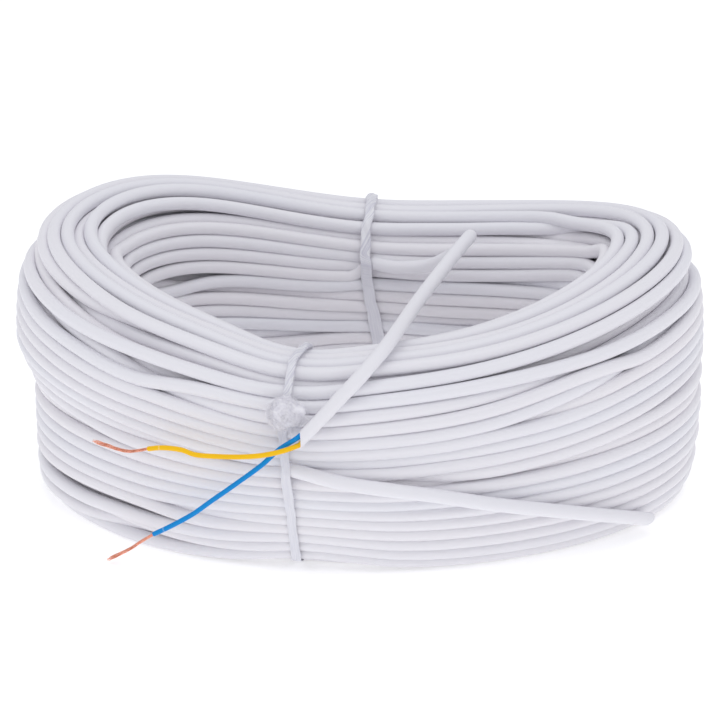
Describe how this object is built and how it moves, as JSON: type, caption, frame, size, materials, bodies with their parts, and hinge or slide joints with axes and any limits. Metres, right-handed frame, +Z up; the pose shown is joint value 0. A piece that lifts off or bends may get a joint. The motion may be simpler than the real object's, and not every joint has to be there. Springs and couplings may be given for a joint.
{
  "type": "coil of electrical wire",
  "caption": "Oval coil of white round flexible electrical cable tied with twine, with a stripped end showing coloured cores and bare copper strands.",
  "frame": {"origin": "middle of the whole part's plan, on the surface that the coil lies on", "axes": "+Z up along the bore, +X along the coil's long side, the stripped end hangs over the front towards -Y"},
  "size_m": [0.3137, 0.2271, 0.1306],
  "materials": {
    "white_sheath": "satin",
    "white_twine": "satin",
    "yellow_insulation": "satin",
    "blue_insulation": "satin",
    "copper_strands": "bright"
  },
  "bodies": {
    "root": {"coil_winding": "white_sheath", "inner_end": "white_sheath", "outer_end": "white_sheath", "yellow_core": "yellow_insulation", "blue_core": "blue_insulation", "yellow_copper_strands": "copper_strands", "blue_copper_strands": "copper_strands", "front_tie": "white_twine", "back_tie": "white_twine", "tie_knot": "white_twine"}
  },
  "joints": []
}
